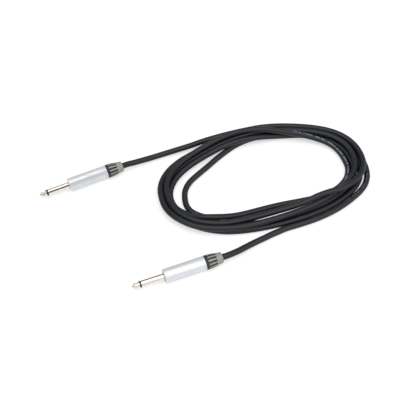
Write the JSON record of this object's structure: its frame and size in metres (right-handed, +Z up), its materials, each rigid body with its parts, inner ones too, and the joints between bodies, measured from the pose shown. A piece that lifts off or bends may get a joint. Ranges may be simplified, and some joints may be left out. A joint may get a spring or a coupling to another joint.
{
  "type": "instrument cable",
  "caption": "Mono instrument cable: two straight 6.35 mm phone plugs with satin shells and grey screw-on boots, on a black round cable laid in an oval coil.",
  "frame": {"origin": "on the surface that the plugs lie on, at the middle of the two plugs' common bounding box, the cable left out", "axes": "+X to the picture's right, along the two plugs' longer extent; +Y away from the camera; +Z up"},
  "size_m": [0.3355, 0.2015, 0.019],
  "materials": {
    "nickel": "polished nickel plate",
    "satin_shell": "satin plated, pale silver",
    "brass_metal": "plain, as turned or stamped",
    "copper_wire": "twisted bare copper strands",
    "black_plastic": "moulded, satin black",
    "clear_plastic": "natural, slightly clear",
    "grey_boot": "moulded, fine matte warm grey",
    "dark_grip": "soft moulded grip, matte dark grey",
    "cable_jacket": "smooth satin black flexible PVC"
  },
  "bodies": {
    "cable": {"plug_a_tip_contact": "nickel", "plug_a_tip_rod": "brass_metal", "plug_a_insulator_ring": "black_plastic", "plug_a_core_tube": "clear_plastic", "plug_a_sleeve": "nickel", "plug_a_front_collar": "nickel", "plug_a_sleeve_lug": "brass_metal", "plug_a_insert_body": "black_plastic", "plug_a_tip_lug": "brass_metal", "plug_a_shell": "satin_shell", "plug_a_jacket_end": "cable_jacket", "plug_a_core_end": "clear_plastic", "plug_a_shield_tail": "copper_wire", "plug_b_tip_contact": "nickel", "plug_b_tip_rod": "brass_metal", "plug_b_insulator_ring": "black_plastic", "plug_b_core_tube": "clear_plastic", "plug_b_sleeve": "nickel", "plug_b_front_collar": "nickel", "plug_b_sleeve_lug": "brass_metal", "plug_b_insert_body": "black_plastic", "plug_b_tip_lug": "brass_metal", "plug_b_shell": "satin_shell", "plug_b_jacket_end": "cable_jacket", "plug_b_core_end": "clear_plastic", "plug_b_shield_tail": "copper_wire", "cable_lead_a": "cable_jacket", "cable_coil": "cable_jacket", "cable_lead_b": "cable_jacket"},
    "clamp_a": {"plug_a_clamp_chuck": "black_plastic"},
    "boot_a": {"plug_a_boot": "grey_boot", "plug_a_grip_ring": "dark_grip"},
    "clamp_b": {"plug_b_clamp_chuck": "black_plastic"},
    "boot_b": {"plug_b_boot": "grey_boot", "plug_b_grip_ring": "dark_grip"}
  },
  "joints": [
    {"name": "clamp_a_slide", "type": "slide", "parent": "cable", "child": "clamp_a", "axis": [0.9063, 0.4226, 0], "range_m": [0, 0.005]},
    {"name": "boot_a_unscrew", "type": "hinge", "parent": "clamp_a", "child": "boot_a", "pos_m": [-0.01855, 0.06469, 0.007], "axis": [0.9063, 0.4226, 0], "range_deg": [0, 1450]},
    {"name": "clamp_b_slide", "type": "slide", "parent": "cable", "child": "clamp_b", "axis": [0.9361, 0.3518, 0], "range_m": [0, 0.005]},
    {"name": "boot_b_unscrew", "type": "hinge", "parent": "clamp_b", "child": "boot_b", "pos_m": [0.08182, -0.04267, 0.007], "axis": [0.9361, 0.3518, 0], "range_deg": [0, 1450]}
  ],
  "couplings": [
    {"joint": "boot_a_unscrew", "follows": "clamp_a_slide", "rad_per_m": 5026.5},
    {"joint": "boot_b_unscrew", "follows": "clamp_b_slide", "rad_per_m": 5026.5}
  ]
}
